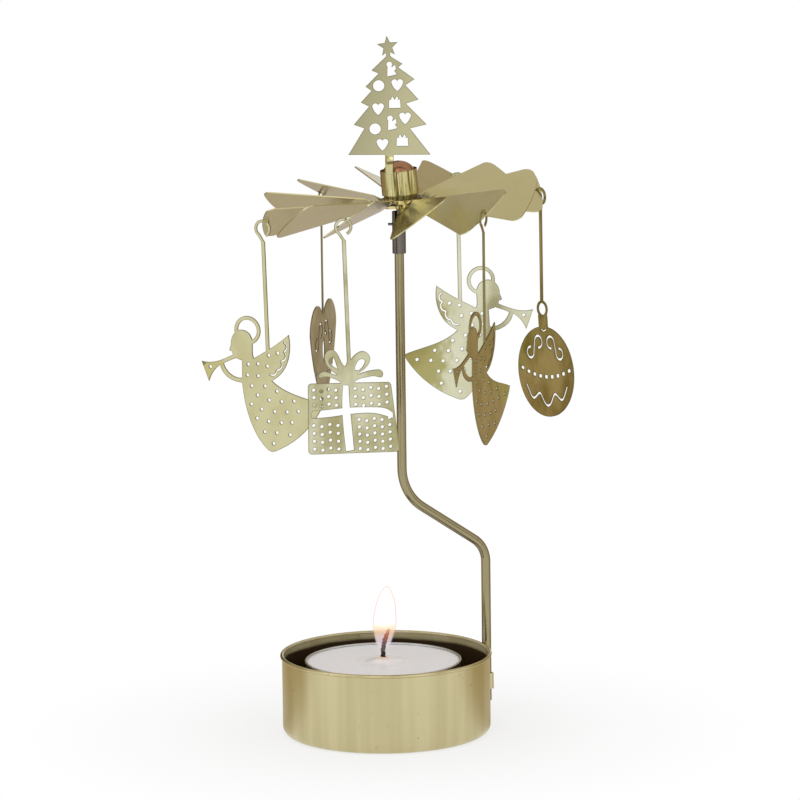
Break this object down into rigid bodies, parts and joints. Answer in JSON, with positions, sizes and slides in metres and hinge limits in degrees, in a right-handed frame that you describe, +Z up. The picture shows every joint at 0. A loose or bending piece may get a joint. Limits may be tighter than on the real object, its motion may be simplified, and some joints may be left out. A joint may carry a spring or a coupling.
{
  "type": "angel chime carousel candle holder",
  "caption": "Brass rotating candle carousel: a tin with a tealight, a bent pole, and a vane wheel on a needle with hooked, pierced angel, gift, heart and bauble charms under a tree topper.",
  "frame": {"origin": "centre of the tin's flat underside", "axes": "+Z up the pole, +X towards the side on which the pole's foot stands, +Y away from the viewer of the picture"},
  "size_m": [0.0905, 0.0841, 0.1718],
  "materials": {
    "brass_tin": "satin",
    "brass_wire": "satin",
    "brass_sheet": "polished",
    "polished_cap": "polished",
    "steel": "satin",
    "aluminium": "satin",
    "wax": "smooth",
    "wick": "charred"
  },
  "bodies": {
    "tin": {"tin_cup": "brass_tin"},
    "pole": {"pole": "brass_wire", "pole_ferrule": "steel", "ferrule_pin": "steel", "pivot_needle": "steel"},
    "wheel": {"vane_wheel": "brass_sheet", "hub_cap": "polished_cap", "hub_washer": "polished_cap", "pivot_jewel": "steel"},
    "tree": {"tree_topper": "brass_sheet"},
    "tealight": {"tealight_cup": "aluminium", "wax": "wax", "wick": "wick", "wick_sustainer": "steel"},
    "bauble_charm": {"bauble_charm": "brass_sheet"},
    "angel_charm_back": {"angel_charm_back": "brass_sheet"},
    "heart_charm": {"heart_charm": "brass_sheet"},
    "angel_charm_left": {"angel_charm_left": "brass_sheet"},
    "gift_charm": {"gift_charm": "brass_sheet"},
    "angel_charm_front": {"angel_charm_front": "brass_sheet"}
  },
  "joints": [
    {"name": "pole_lift", "type": "slide", "parent": "tin", "child": "pole", "axis": [0, 0, 1], "range_m": [0, 0.012]},
    {"name": "tealight_lift", "type": "slide", "parent": "tin", "child": "tealight", "axis": [0, 0, 1], "range_m": [0, 0.02]},
    {"name": "wheel_spin", "type": "hinge", "parent": "pole", "child": "wheel", "pos_m": [0.00451, 0.00192, 0.1395], "axis": [0, 0, 1], "continuous": true},
    {"name": "tree_lift", "type": "slide", "parent": "wheel", "child": "tree", "axis": [-0.0785, 0, 0.9969], "range_m": [0, 0.008]},
    {"name": "bauble_swing", "type": "hinge", "parent": "wheel", "child": "bauble_charm", "pos_m": [0.03885, 0.00493, 0.13141], "axis": [-0.809, -0.5878, 0], "range_deg": [-10, 10]},
    {"name": "angel_swing_back", "type": "hinge", "parent": "wheel", "child": "angel_charm_back", "pos_m": [0.01907, 0.03267, 0.1313], "axis": [0.1736, -0.9848, 0], "range_deg": [-10, 10]},
    {"name": "heart_swing", "type": "hinge", "parent": "wheel", "child": "heart_charm", "pos_m": [-0.01456, 0.0294, 0.1284], "axis": [0.9703, -0.2419, 0], "range_deg": [-10, 10]},
    {"name": "angel_swing_left", "type": "hinge", "parent": "wheel", "child": "angel_charm_left", "pos_m": [-0.02842, -0.00173, 0.12537], "axis": [-0.4493, -0.8934, 0], "range_deg": [-10, 10]},
    {"name": "gift_swing", "type": "hinge", "parent": "wheel", "child": "gift_charm", "pos_m": [-0.00871, -0.0288, 0.12967], "axis": [0.1736, -0.9848, 0], "range_deg": [-10, 10]},
    {"name": "angel_swing_front", "type": "hinge", "parent": "wheel", "child": "angel_charm_front", "pos_m": [0.02457, -0.02583, 0.1307], "axis": [0.9063, -0.4226, 0], "range_deg": [-10, 10]}
  ]
}
